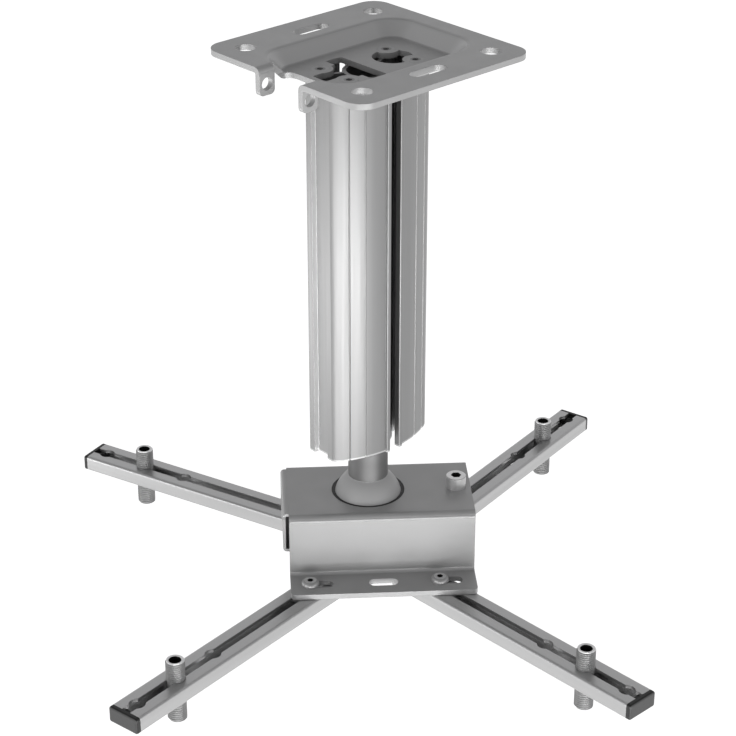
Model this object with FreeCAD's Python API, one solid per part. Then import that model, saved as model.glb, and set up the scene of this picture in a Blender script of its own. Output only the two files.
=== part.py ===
import FreeCAD, Part
import math
import os

# Projector ceiling mount. Units are millimetres.
# The origin is the centre of the ceiling plate's top face, +Z up, +X along the column's long side.

# Ceiling plate, one pressed steel sheet with a dished middle
PLATE_SIDE = 115.0
PLATE_SHEET = 3.0
PLATE_CORNER_R = 10.0
CEILING_HOLE_PITCH = 85.0
CEILING_HOLE_R = 5.25
RIM_SLOT_LENGTH = 22.0
RIM_SLOT_WIDTH = 8.0
RIM_SLOT_Y = 42.5
DISH_DEPTH = 7.5
DISH_FLOOR_X = 78.0
DISH_FLOOR_Y = 48.0
DISH_FLOOR_CORNER_R = 8.0
DISH_WALL_ANGLE = 45.0
DISH_BEND_R = 1.5

# Notch in the plate's left side and the two ears bent down beside it
NOTCH_END_X = -35.0
NOTCH_CORNER_R = 4.5
EAR_GAP = 28.4
EAR_LENGTH = 9.6
EAR_DEPTH = 14.6
EAR_BEND_R = 0.6
EAR_CORNER_R = 2.5
EAR_HOLE_R = 3.25
EAR_HOLE_DEPTH = 8.8

# Cable openings in the dish floor
CABLE_BAR_LEFT = -13.0
CABLE_BAR_RIGHT = -2.9
CABLE_BAR_HALF = 17.0
CABLE_TAIL_LEFT = -32.0
CABLE_TAIL_HALF = 5.0
CABLE_CORNER_R = 1.5
ROUND_OPENING_X = 16.5
ROUND_OPENING_R = 10.3
SCREW_PAD_R = 6.5

# Column, an aluminium extrusion with curved faces, two open slots and a central tube
COLUMN_LENGTH = 204.5
COLUMN_WIDTH = 66.4
COLUMN_DEPTH = 39.6
COLUMN_FACE_R = 62.0
COLUMN_FACE_HALF = 26.5
COLUMN_SIDE_HALF = 8.4
COLUMN_CORNER_BULGE = 0.9
SIDE_GROOVE_HALF = 5.0
SIDE_GROOVE_DEPTH = 2.9
COLUMN_WALL = 2.2
SLOT_WIDTH = 6.2
SLOT_LIP_WIDTH = 2.5
SLOT_LIP_PROUD = 1.1
SLOT_LIP_DEPTH = 3.5
SLOT_LIP_EDGE_R = 0.5
FACE_GROOVE_R = 0.45
FACE_GROOVE_X = (17.4, 25.6)
TUBE_BORE_R = 10.75
TUBE_WALL = 2.1
SCREW_PORT_SIDE_INSET = 11.2
SCREW_PORT_FACE_INSET = 9.2
SCREW_PORT_R = 4.0
PORT_WEB = 2.0

# Countersunk screws that hold the column under the dish floor
FLOOR_SCREW_R = 2.5
FLOOR_SCREW_HEAD_R = 4.6
FLOOR_SCREW_LENGTH = 22.0
FLOOR_SCREW_HEX_AF = 3.0
FLOOR_SCREW_HEX_DEPTH = 1.8
THREAD_GAP = 0.05

# Ball stem, turned from one bar, held in the column's tube by two set screws in a groove
STEM_CLEARANCE = 0.08
STEM_INSERT = 60.0
STEM_CHAMFER = 1.0
BALL_R = 18.3
BALL_DROP = 38.0
BALL_FLAT_R = 5.5
STEM_GROOVE_DEPTH = 1.2
STEM_GROOVE_WIDTH = 6.6
STEM_GROOVE_ABOVE_END = 20.0
STEM_GROOVE_PITCH = 20.0
SET_SCREW_R = 2.5
SET_SCREW_LENGTH = 4.0
SET_SCREW_HEX_AF = 2.5
SET_SCREW_HEX_DEPTH = 2.0
SET_SCREW_TIP_GAP = 0.15

# Head bracket, one folded sheet of hat section that turns on the ball
HEAD_TURN = -38.95
HEAD_SHEET = 3.0
HEAD_LEFT = -43.5
HEAD_RIGHT = 55.5
HEAD_HALF_WIDTH = 28.3
HEAD_HEIGHT = 38.2
HEAD_ABOVE_BALL = 4.8
HEAD_TOP_BEND_R = 0.5
HEAD_FOOT_BEND_R = 1.8
FLANGE_HALF = 48.6
FLANGE_CORNER_R = 2.5
BALL_HOLE_R = 19.6
FLANGE_SLOT_Y = 38.4
FLANGE_SLOT_PITCH = 34.5
FLANGE_SLOT_LENGTH = 15.6
FLANGE_SLOT_WIDTH = 6.6

# Clamp plate, a C of thinner sheet that presses the ball up into the head
CLAMP_SHEET = 1.6
CLAMP_LEFT = -46.8
CLAMP_RIGHT = 54.0
CLAMP_HALF_WIDTH = 24.0
CLAMP_BEND_R = 0.6
CLAMP_HOLE_R = 13.4
CLAMP_LEG_DROP = 16.8
CLAMP_SCREW_X = 47.6
CLAMP_STUD_X = -34.0
M6_SHANK_R = 3.0
M6_HOLE_R = 3.3
M6_NUT_HEIGHT = 5.0
M6_NUT_AF = 10.0
CAP_HEAD_R = 5.35
CAP_HEAD_HEIGHT = 7.0
CAP_HEAD_CHAMFER = 0.4
CAP_HEX_AF = 5.0
CAP_HEX_DEPTH = 3.0
CLAMP_SCREW_PAST_NUT = 2.5

# Friction liners above and under the ball
LINER_BALL_GAP = 0.15
LINER_HOLE_GAP = 0.2
LINER_FACE_GAP = 0.2
UPPER_LINER_FLANGE_R = 23.0
UPPER_LINER_FLANGE = 2.4
LOWER_LINER_FLANGE_R = 17.6
LOWER_LINER_FLANGE = 6.7
LOWER_LINER_SPIGOT = 1.2
LOWER_LINER_WINDOW_R = 8.0

# Pivot screws through the flange slots, M5 button heads
PIVOT_SHANK_R = 2.5
PIVOT_LENGTH = 9.6
PIVOT_HEAD_R = 4.75
PIVOT_HEAD_HEIGHT = 2.75
PIVOT_HEAD_EDGE_R = 2.2
PIVOT_HEAD_HEX_AF = 3.0
PIVOT_HEAD_HEX_DEPTH = 1.5

# Arms, slotted rails with three tapped stud holes near the outer end
ARM_WIDTH = 19.3
ARM_HEIGHT = 9.0
ARM_WALL = 1.9
ARM_EDGE_R = 1.5
ARM_GAP = 0.25
ARM_SLOT_WIDTH = 5.4
ARM_LENGTH = 168.0
ARM_HOLE_PITCH = 27.5
ARM_HOLE_FROM_END = 10.5
ARM_HOLE_R = 4.25
STUD_HOLE_R = 5.06
CAP_THICKNESS = 2.7
CAP_FACE_R = 1.2
CAP_PLUG_LENGTH = 3.2
CAP_PLUG_GAP = 0.1

# Pivot nuts, long square nuts that slide in the arms
PIVOT_NUT_LENGTH = 14.0
PIVOT_NUT_HEIGHT = 4.4
PIVOT_NUT_GAP = 0.15
PIVOT_NUT_BORE_GAP = 0.05

# Studs, hollow M10 stand-offs screwed through the arms
STUD_R = 5.0
STUD_BORE_R = 3.2
STUD_LENGTH = 35.0
STUD_ABOVE_ARM = 11.2
STUD_CHAMFER = 0.7

# How far each arm is pushed out, from its pivot to the outer end
FRONT_LEFT_REACH = 142.3
FRONT_RIGHT_REACH = 141.6
REAR_LEFT_REACH = 149.0
REAR_RIGHT_REACH = 144.6

# Each arm: name, slot number along the flange, flange side, place of the screw in its slot,
# direction from the head's +X in degrees, reach
ARMS = (
    ("front_left", -1, -1, -1, 227.7, FRONT_LEFT_REACH),
    ("front_right", 1, -1, -1, -50.2, FRONT_RIGHT_REACH),
    ("rear_left", -1, 1, -1, 145.5, REAR_LEFT_REACH),
    ("rear_right", 1, 1, 1, 51.0, REAR_RIGHT_REACH),
)

# Places worked out from the sizes above
PLATE_HALF = PLATE_SIDE / 2
DISH_FLOOR_TOP = -DISH_DEPTH
DISH_FLOOR_UNDER = -DISH_DEPTH - PLATE_SHEET
COLUMN_TOP = DISH_FLOOR_UNDER
COLUMN_BOTTOM = COLUMN_TOP - COLUMN_LENGTH
SCREW_PORT_X = COLUMN_WIDTH / 2 - SCREW_PORT_SIDE_INSET
SCREW_PORT_Y = COLUMN_DEPTH / 2 - SCREW_PORT_FACE_INSET
TUBE_R = TUBE_BORE_R + TUBE_WALL
STEM_R = TUBE_BORE_R - STEM_CLEARANCE
STEM_TOP = COLUMN_BOTTOM + STEM_INSERT
BALL_Z = COLUMN_BOTTOM - BALL_DROP
STEM_GROOVE_Z = COLUMN_BOTTOM + STEM_GROOVE_ABOVE_END
HEAD_TOP = BALL_Z + HEAD_ABOVE_BALL
HEAD_UNDER = HEAD_TOP - HEAD_SHEET
FLANGE_UNDER = HEAD_TOP - HEAD_HEIGHT
FLANGE_TOP = FLANGE_UNDER + HEAD_SHEET
HEAD_MIDDLE_X = (HEAD_LEFT + HEAD_RIGHT) / 2
CLAMP_LEG_TOP = BALL_Z - CLAMP_LEG_DROP
CLAMP_LEG_UNDER = CLAMP_LEG_TOP - CLAMP_SHEET
LINER_BALL_R = BALL_R + LINER_BALL_GAP
ARM_TOP = FLANGE_UNDER - ARM_GAP
ARM_UNDER = ARM_TOP - ARM_HEIGHT
ARM_INSIDE_TOP = ARM_TOP - ARM_WALL
OVERCUT = 1.0


def vec(x, y, z):
    return FreeCAD.Vector(x, y, z)


def plan(z):
    """Places a flat outline in a horizontal plane."""
    return lambda u, v: vec(u, v, z)


def side(x):
    """Places an outline drawn in Y and Z at one X."""
    return lambda u, v: vec(x, u, v)


def front(y):
    """Places an outline drawn in X and Z at one Y."""
    return lambda u, v: vec(u, y, v)


def outline(corners, place):
    """Closed wire through corners (u, v, radius), with an arc at each corner that has a radius."""
    edges = []
    ends = []
    count = len(corners)
    for i in range(count):
        u, v, radius = corners[i]
        before = corners[i - 1]
        after = corners[(i + 1) % count]
        if radius <= 0:
            ends.append((place(u, v), None, place(u, v)))
            continue
        back = unit(before[0] - u, before[1] - v)
        forth = unit(after[0] - u, after[1] - v)
        half = math.acos(back[0] * forth[0] + back[1] * forth[1]) / 2
        reach = radius / math.tan(half)
        middle = unit(back[0] + forth[0], back[1] + forth[1])
        bow = radius / math.sin(half) - radius
        ends.append((place(u + back[0] * reach, v + back[1] * reach),
                     place(u + middle[0] * bow, v + middle[1] * bow),
                     place(u + forth[0] * reach, v + forth[1] * reach)))
    for i in range(count):
        start, middle, end = ends[i]
        if middle is not None:
            edges.append(Part.Arc(start, middle, end).toShape())
        following = ends[(i + 1) % count][0]
        if end.distanceToPoint(following) > 1e-6:
            edges.append(Part.makeLine(end, following))
    return Part.Wire(edges)


def unit(u, v):
    length = math.hypot(u, v)
    return (u / length, v / length)


def rectangle(half_x, half_y, radius):
    """Corner list of a rectangle about the origin with equal corner radii."""
    return [(-half_x, -half_y, radius), (half_x, -half_y, radius),
            (half_x, half_y, radius), (-half_x, half_y, radius)]


def prism(wire, direction):
    return Part.Face(wire).extrude(direction)


def box(x0, x1, y0, y1, z0, z1):
    return Part.makeBox(x1 - x0, y1 - y0, z1 - z0, vec(x0, y0, z0))


def rod(radius, z0, z1, x=0.0, y=0.0):
    return Part.makeCylinder(radius, z1 - z0, vec(x, y, z0))


def obround(length, width, z0, z1, x, y):
    """Upright slot along X with round ends."""
    reach = (length - width) / 2
    shape = box(x - reach, x + reach, y - width / 2, y + width / 2, z0, z1)
    return shape.fuse([rod(width / 2, z0, z1, x - reach, y), rod(width / 2, z0, z1, x + reach, y)])


def hexagon(across_flats, z0, z1, x=0.0, y=0.0):
    """Upright six-sided prism."""
    radius = across_flats / math.sqrt(3)
    points = []
    for i in range(7):
        angle = math.radians(60 * i)
        points.append(vec(x + radius * math.cos(angle), y + radius * math.sin(angle), z0))
    return prism(Part.makePolygon(points), vec(0, 0, z1 - z0))


def turned(corners):
    """Solid of revolution about Z from an outline in radius and height."""
    return Part.Face(outline(corners, front(0.0))).revolve(vec(0, 0, 0), vec(0, 0, 1), 360)


def one(shape):
    """The clean single solid of a boolean's result."""
    clean = shape.removeSplitter()
    return clean.Solids[0] if len(clean.Solids) == 1 else clean


def in_head(shape):
    """Turns a shape from the head's own axes into the part's axes."""
    moved = shape.copy()
    moved.rotate(vec(0, 0, 0), vec(0, 0, 1), HEAD_TURN)
    return moved


# Ceiling plate

def dish_form(top, bottom, outward):
    """Solid between the dish's sloping faces at two heights, grown outward by a distance."""
    slope = math.tan(math.radians(DISH_WALL_ANGLE))
    grown = [(DISH_DEPTH + z) / slope + outward for z in (bottom, top)]
    straight_x = DISH_FLOOR_X / 2 - DISH_FLOOR_CORNER_R
    straight_y = DISH_FLOOR_Y / 2 - DISH_FLOOR_CORNER_R
    low, high = [DISH_FLOOR_CORNER_R + value for value in grown]
    pieces = []
    for sx in (-1, 1):
        for sy in (-1, 1):
            corner = vec(sx * straight_x, sy * straight_y, bottom)
            pieces.append(Part.makeCone(low, high, top - bottom, corner))
    across = [(-straight_y - low, bottom, 0), (straight_y + low, bottom, 0),
              (straight_y + high, top, 0), (-straight_y - high, top, 0)]
    along = [(-straight_x - low, bottom, 0), (straight_x + low, bottom, 0),
             (straight_x + high, top, 0), (-straight_x - high, top, 0)]
    pieces.append(prism(outline(across, side(-straight_x)), vec(2 * straight_x, 0, 0)))
    return one(prism(outline(along, front(-straight_y)), vec(0, 2 * straight_y, 0)).fuse(pieces))


def level_edges(shape, z, inner_limit):
    """Edges that lie at one height, inside a half width from the origin."""
    found = []
    for edge in shape.Edges:
        extent = edge.BoundBox
        level = abs(extent.ZMin - z) < 1e-4 and abs(extent.ZMax - z) < 1e-4
        reach = max(-extent.XMin, extent.XMax, -extent.YMin, extent.YMax)
        if level and reach < inner_limit:
            found.append(edge)
    return found


def dished_sheet():
    rim = prism(outline(rectangle(PLATE_HALF, PLATE_HALF, PLATE_CORNER_R), plan(-PLATE_SHEET)),
                vec(0, 0, PLATE_SHEET))
    wall_across = PLATE_SHEET / math.sin(math.radians(DISH_WALL_ANGLE))
    shell = rim.fuse(dish_form(-PLATE_SHEET, DISH_FLOOR_UNDER, wall_across))
    sheet = one(shell.cut(dish_form(0.0, DISH_FLOOR_TOP, 0.0)))
    limit = PLATE_HALF - OVERCUT
    outer_bend = DISH_BEND_R + PLATE_SHEET
    sheet = sheet.makeFillet(DISH_BEND_R, level_edges(sheet, -PLATE_SHEET, limit))
    sheet = sheet.makeFillet(outer_bend, level_edges(sheet, 0.0, limit))
    sheet = sheet.makeFillet(DISH_BEND_R, level_edges(sheet, DISH_FLOOR_TOP, limit))
    return sheet.makeFillet(outer_bend, level_edges(sheet, DISH_FLOOR_UNDER, limit))


def ear(sign):
    """Tab bent down from the rim beside the notch, with its cross hole."""
    inside = EAR_GAP / 2
    bend_end = inside + PLATE_SHEET + EAR_BEND_R
    section = [(sign * (bend_end + OVERCUT), 0.0, 0), (sign * inside, 0.0, PLATE_SHEET + EAR_BEND_R),
               (sign * inside, -EAR_DEPTH, 0), (sign * (inside + PLATE_SHEET), -EAR_DEPTH, 0),
               (sign * (inside + PLATE_SHEET), -PLATE_SHEET, EAR_BEND_R),
               (sign * (bend_end + OVERCUT), -PLATE_SHEET, 0)]
    tab = prism(outline(section, side(-PLATE_HALF)), vec(EAR_LENGTH, 0, 0))
    trim = [(-PLATE_HALF, OVERCUT, 0), (-PLATE_HALF, -EAR_DEPTH, EAR_CORNER_R),
            (EAR_LENGTH - PLATE_HALF, -EAR_DEPTH, EAR_CORNER_R), (EAR_LENGTH - PLATE_HALF, OVERCUT, 0)]
    reach = bend_end + 2 * OVERCUT
    tab = tab.common(prism(outline(trim, front(-reach)), vec(0, 2 * reach, 0)))
    hole_start = vec(EAR_LENGTH / 2 - PLATE_HALF, -reach, -EAR_HOLE_DEPTH)
    return tab.cut(Part.makeCylinder(EAR_HOLE_R, 2 * reach, hole_start, vec(0, 1, 0)))


def cable_openings(z0, z1):
    """The T-shaped and the round opening, both cut back around the column's screws."""
    tail = CABLE_TAIL_HALF
    bar = CABLE_BAR_HALF
    tee = [(CABLE_TAIL_LEFT, -tail, CABLE_CORNER_R), (CABLE_BAR_LEFT, -tail, 0),
           (CABLE_BAR_LEFT, -bar, CABLE_CORNER_R), (CABLE_BAR_RIGHT, -bar, CABLE_CORNER_R),
           (CABLE_BAR_RIGHT, bar, CABLE_CORNER_R), (CABLE_BAR_LEFT, bar, CABLE_CORNER_R),
           (CABLE_BAR_LEFT, tail, 0), (CABLE_TAIL_LEFT, tail, CABLE_CORNER_R)]
    opening = prism(outline(tee, plan(z0)), vec(0, 0, z1 - z0))
    shoulder = box(CABLE_BAR_LEFT - tail, CABLE_BAR_LEFT, -2 * tail, 2 * tail, z0, z1)
    opening = opening.fuse([shoulder, rod(ROUND_OPENING_R, z0, z1, ROUND_OPENING_X, 0)])
    return opening.cut([rod(SCREW_PAD_R, z0, z1, x, y) for x, y in screw_places()])


def screw_places():
    return [(sx * SCREW_PORT_X, sy * SCREW_PORT_Y) for sx in (-1, 1) for sy in (-1, 1)]


def floor_screw_cone(grown, x, y):
    """Countersink down from the dish floor, 90 degrees."""
    head = FLOOR_SCREW_HEAD_R + grown
    shank = FLOOR_SCREW_R + grown
    return Part.makeCone(shank, head, head - shank, vec(x, y, DISH_FLOOR_TOP - head + shank))


def ceiling_plate():
    sheet = dished_sheet()
    bottom = DISH_FLOOR_UNDER - OVERCUT
    rim_bottom = -PLATE_SHEET - OVERCUT
    half = CEILING_HOLE_PITCH / 2
    cuts = []
    for sy in (-1, 1):
        for sx in (-1, 1):
            cuts.append(rod(CEILING_HOLE_R, rim_bottom, OVERCUT, sx * half, sy * half))
        cuts.append(obround(RIM_SLOT_LENGTH, RIM_SLOT_WIDTH, rim_bottom, OVERCUT, 0, sy * RIM_SLOT_Y))
    notch_half = EAR_GAP / 2 + PLATE_SHEET + EAR_BEND_R
    notch = [(-PLATE_HALF - OVERCUT, -notch_half, 0), (NOTCH_END_X, -notch_half, NOTCH_CORNER_R),
             (NOTCH_END_X, notch_half, NOTCH_CORNER_R), (-PLATE_HALF - OVERCUT, notch_half, 0)]
    cuts.append(prism(outline(notch, plan(bottom)), vec(0, 0, OVERCUT - bottom)))
    cuts.append(cable_openings(bottom, DISH_FLOOR_TOP + OVERCUT))
    for x, y in screw_places():
        cuts.append(rod(FLOOR_SCREW_R + THREAD_GAP, bottom, OVERCUT, x, y))
        cuts.append(floor_screw_cone(THREAD_GAP, x, y))
    return one(sheet.cut(cuts).fuse([ear(-1), ear(1)]))


def column_screws():
    """Four countersunk screws, heads flush with the dish floor."""
    screws = []
    for x, y in screw_places():
        shank = rod(FLOOR_SCREW_R, DISH_FLOOR_TOP - FLOOR_SCREW_LENGTH, DISH_FLOOR_TOP, x, y)
        recess = hexagon(FLOOR_SCREW_HEX_AF, DISH_FLOOR_TOP - FLOOR_SCREW_HEX_DEPTH,
                         DISH_FLOOR_TOP + OVERCUT, x, y)
        screws.append(one(shank.fuse(floor_screw_cone(0.0, x, y)).cut(recess)))
    return Part.makeCompound(screws)


# Column

def face_y(x, radius, apex):
    """Half depth of a curved face at x."""
    return apex - radius + math.sqrt(radius * radius - x * x)


def column_outline():
    """Outer section: two curved faces, rounded corners and a shallow groove in each short side."""
    half_x = COLUMN_WIDTH / 2
    apex = COLUMN_DEPTH / 2
    shoulder = face_y(COLUMN_FACE_HALF, COLUMN_FACE_R, apex)
    z = COLUMN_BOTTOM
    edges = []
    for s in (1, -1):
        face_start = vec(-s * COLUMN_FACE_HALF, -s * shoulder, z)
        face_end = vec(s * COLUMN_FACE_HALF, -s * shoulder, z)
        side_start = vec(s * half_x, -s * COLUMN_SIDE_HALF, z)
        side_end = vec(s * half_x, s * COLUMN_SIDE_HALF, z)
        next_face = vec(s * COLUMN_FACE_HALF, s * shoulder, z)
        edges.append(Part.Arc(face_start, vec(0, -s * apex, z), face_end).toShape())
        edges.append(corner_arc(face_end, side_start))
        lip_a = vec(s * half_x, -s * SIDE_GROOVE_HALF, z)
        lip_b = vec(s * half_x, s * SIDE_GROOVE_HALF, z)
        floor_a = vec(s * (half_x - SIDE_GROOVE_DEPTH), -s * SIDE_GROOVE_HALF, z)
        floor_b = vec(s * (half_x - SIDE_GROOVE_DEPTH), s * SIDE_GROOVE_HALF, z)
        edges.extend(Part.makePolygon([side_start, lip_a, floor_a, floor_b, lip_b, side_end]).Edges)
        edges.append(corner_arc(side_end, next_face))
    return Part.Wire(edges)


def corner_arc(start, end):
    """Arc between two points that bows away from the origin."""
    middle = (start + end) * 0.5
    along = end - start
    outward = vec(along.y, -along.x, 0)
    outward.normalize()
    if outward.dot(vec(middle.x, middle.y, 0)) < 0:
        outward = outward * -1
    return Part.Arc(start, middle + outward * COLUMN_CORNER_BULGE, end).toShape()


def column_cavity():
    """Inside of the outer wall."""
    apex = COLUMN_DEPTH / 2 - COLUMN_WALL
    half_x = COLUMN_WIDTH / 2 - SIDE_GROOVE_DEPTH - COLUMN_WALL
    face_half = COLUMN_FACE_HALF - COLUMN_WALL
    shoulder = face_y(face_half, COLUMN_FACE_R - COLUMN_WALL, apex)
    z = COLUMN_BOTTOM
    edges = []
    for s in (1, -1):
        face_start = vec(-s * face_half, -s * shoulder, z)
        face_end = vec(s * face_half, -s * shoulder, z)
        side_start = vec(s * half_x, -s * COLUMN_SIDE_HALF, z)
        side_end = vec(s * half_x, s * COLUMN_SIDE_HALF, z)
        next_face = vec(s * face_half, s * shoulder, z)
        edges.append(Part.Arc(face_start, vec(0, -s * apex, z), face_end).toShape())
        edges.extend(Part.makePolygon([face_end, side_start, side_end, next_face]).Edges)
    return Part.Wire(edges)


def slot_lip(sx, sy):
    """Raised lip along one edge of a slot."""
    near = sx * SLOT_WIDTH / 2
    far = near + sx * SLOT_LIP_WIDTH
    apex = COLUMN_DEPTH / 2
    top = sy * (apex + SLOT_LIP_PROUD)
    root = sy * (apex + SLOT_LIP_PROUD - SLOT_LIP_DEPTH)
    section = [(near, root, 0), (near, top, SLOT_LIP_EDGE_R), (far, top, SLOT_LIP_EDGE_R), (far, root, 0)]
    return prism(outline(section, plan(COLUMN_BOTTOM)), vec(0, 0, COLUMN_LENGTH))


def port_web(sx, sy):
    """Web from the central tube to a screw port."""
    angle = math.degrees(math.atan2(sy * SCREW_PORT_Y, sx * SCREW_PORT_X))
    start = TUBE_BORE_R + TUBE_WALL / 2
    end = math.hypot(SCREW_PORT_X, SCREW_PORT_Y) - FLOOR_SCREW_R - THREAD_GAP - OVERCUT / 2
    web = box(start, end, -PORT_WEB / 2, PORT_WEB / 2, COLUMN_BOTTOM, COLUMN_TOP)
    web.rotate(vec(0, 0, 0), vec(0, 0, 1), angle)
    return web


def column_profile():
    rise = vec(0, 0, COLUMN_LENGTH)
    low = COLUMN_BOTTOM - OVERCUT
    high = COLUMN_TOP + OVERCUT
    apex = COLUMN_DEPTH / 2
    slot_root = TUBE_R + OVERCUT / 2
    shell = prism(column_outline(), rise).cut(prism(column_cavity(), rise))
    adds = [rod(TUBE_R, COLUMN_BOTTOM, COLUMN_TOP)]
    cuts = [rod(TUBE_BORE_R, low, high)]
    for x, y in screw_places():
        adds.append(rod(SCREW_PORT_R, COLUMN_BOTTOM, COLUMN_TOP, x, y))
        cuts.append(rod(FLOOR_SCREW_R + THREAD_GAP, low, high, x, y))
    for sy in (-1, 1):
        for sx in (-1, 1):
            adds.append(slot_lip(sx, sy))
            adds.append(port_web(sx, sy))
            for x in FACE_GROOVE_X:
                cuts.append(rod(FACE_GROOVE_R, low, high, sx * x, sy * face_y(x, COLUMN_FACE_R, apex)))
        near, far = sorted((sy * slot_root, sy * COLUMN_DEPTH))
        cuts.append(box(-SLOT_WIDTH / 2, SLOT_WIDTH / 2, near, far, low, high))
    for z in set_screw_heights():
        cuts.append(Part.makeCylinder(SET_SCREW_R + THREAD_GAP, TUBE_R, vec(0, 0, z), vec(0, 1, 0)))
    return one(shell.fuse(adds).cut(cuts))


def set_screw_heights():
    """One above the other in the tube's rear wall, each at its own groove of the stem."""
    return [STEM_GROOVE_Z, STEM_GROOVE_Z + STEM_GROOVE_PITCH]


def stem_set_screws():
    """Two grub screws through the tube's rear wall, tips in the stem's grooves."""
    tip = STEM_R - STEM_GROOVE_DEPTH + SET_SCREW_TIP_GAP
    screws = []
    for z in set_screw_heights():
        body = Part.makeCylinder(SET_SCREW_R, SET_SCREW_LENGTH, vec(0, tip, z), vec(0, 1, 0))
        socket = hexagon(SET_SCREW_HEX_AF, 0, SET_SCREW_HEX_DEPTH + OVERCUT)
        socket.rotate(vec(0, 0, 0), vec(1, 0, 0), -90)
        socket.translate(vec(0, tip + SET_SCREW_LENGTH - SET_SCREW_HEX_DEPTH, z))
        screws.append(one(body.cut(socket)))
    return Part.makeCompound(screws)


# Ball stem and its liners

def ball_stem():
    shaft = rod(STEM_R, BALL_Z, STEM_TOP)
    shaft = shaft.makeChamfer(STEM_CHAMFER, level_edges(shaft, STEM_TOP, PLATE_HALF))
    body = shaft.fuse(Part.makeSphere(BALL_R, vec(0, 0, BALL_Z)))
    flat_z = BALL_Z - math.sqrt(BALL_R ** 2 - BALL_FLAT_R ** 2)
    cuts = [rod(BALL_R, BALL_Z - 2 * BALL_R, flat_z)]
    for z in set_screw_heights():
        ring = rod(STEM_R + OVERCUT, z - STEM_GROOVE_WIDTH / 2, z + STEM_GROOVE_WIDTH / 2)
        core = rod(STEM_R - STEM_GROOVE_DEPTH, z - STEM_GROOVE_WIDTH, z + STEM_GROOVE_WIDTH)
        cuts.append(ring.cut(core))
    return one(body.cut(cuts))


def upper_ball_liner():
    """Plastic ring in the head's hole, hollowed to the ball, with a flange under the sheet."""
    hole = BALL_HOLE_R - LINER_HOLE_GAP
    top = HEAD_TOP - LINER_FACE_GAP
    flange_top = HEAD_UNDER - LINER_FACE_GAP
    ring = turned([(0, top, 0), (hole, top, 0), (hole, flange_top, 0),
                   (UPPER_LINER_FLANGE_R, flange_top, 0),
                   (UPPER_LINER_FLANGE_R, flange_top - UPPER_LINER_FLANGE, 0),
                   (0, flange_top - UPPER_LINER_FLANGE, 0)])
    hollow = Part.makeSphere(LINER_BALL_R, vec(0, 0, BALL_Z))
    skirt = rod(LINER_BALL_R, BALL_Z - BALL_R, BALL_Z)
    return one(ring.cut([hollow, skirt]))


def lower_ball_liner():
    """Plastic cup ring on the clamp plate under the ball, with a short spigot in its hole."""
    hole = CLAMP_HOLE_R - LINER_HOLE_GAP
    seat = CLAMP_LEG_TOP + LINER_FACE_GAP
    top = seat + LOWER_LINER_FLANGE
    bottom = CLAMP_LEG_TOP - LOWER_LINER_SPIGOT
    ring = turned([(0, top, 0), (LOWER_LINER_FLANGE_R, top, 0), (LOWER_LINER_FLANGE_R, seat, 0),
                   (hole, seat, 0), (hole, bottom, 0), (0, bottom, 0)])
    hollow = Part.makeSphere(LINER_BALL_R, vec(0, 0, BALL_Z))
    window = rod(LOWER_LINER_WINDOW_R, bottom - OVERCUT, BALL_Z)
    return one(ring.cut([hollow, window]))


# Head

def head_bracket():
    inner = HEAD_HALF_WIDTH - HEAD_SHEET
    top_out = HEAD_TOP_BEND_R + HEAD_SHEET
    foot_out = HEAD_FOOT_BEND_R + HEAD_SHEET
    section = [(-FLANGE_HALF, FLANGE_TOP, 0), (-HEAD_HALF_WIDTH, FLANGE_TOP, HEAD_FOOT_BEND_R),
               (-HEAD_HALF_WIDTH, HEAD_TOP, top_out), (HEAD_HALF_WIDTH, HEAD_TOP, top_out),
               (HEAD_HALF_WIDTH, FLANGE_TOP, HEAD_FOOT_BEND_R), (FLANGE_HALF, FLANGE_TOP, 0),
               (FLANGE_HALF, FLANGE_UNDER, 0), (inner, FLANGE_UNDER, foot_out),
               (inner, HEAD_UNDER, HEAD_TOP_BEND_R), (-inner, HEAD_UNDER, HEAD_TOP_BEND_R),
               (-inner, FLANGE_UNDER, foot_out), (-FLANGE_HALF, FLANGE_UNDER, 0)]
    sheet = prism(outline(section, side(HEAD_LEFT)), vec(HEAD_RIGHT - HEAD_LEFT, 0, 0))
    corners = rectangle((HEAD_RIGHT - HEAD_LEFT) / 2, FLANGE_HALF, FLANGE_CORNER_R)
    plan_form = prism(outline(corners, plan(FLANGE_UNDER - OVERCUT)), vec(0, 0, HEAD_HEIGHT + 2 * OVERCUT))
    plan_form.translate(vec(HEAD_MIDDLE_X, 0, 0))
    cuts = [rod(BALL_HOLE_R, HEAD_UNDER - OVERCUT, HEAD_TOP + OVERCUT),
            rod(M6_HOLE_R, HEAD_UNDER - OVERCUT, HEAD_TOP + OVERCUT, CLAMP_SCREW_X, 0)]
    for number in (-1, 0, 1):
        x = HEAD_MIDDLE_X + number * FLANGE_SLOT_PITCH
        for sy in (-1, 1):
            cuts.append(obround(FLANGE_SLOT_LENGTH, FLANGE_SLOT_WIDTH, FLANGE_UNDER - OVERCUT,
                                FLANGE_TOP + OVERCUT, x, sy * FLANGE_SLOT_Y))
    return in_head(one(sheet.common(plan_form).cut(cuts)))


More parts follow.
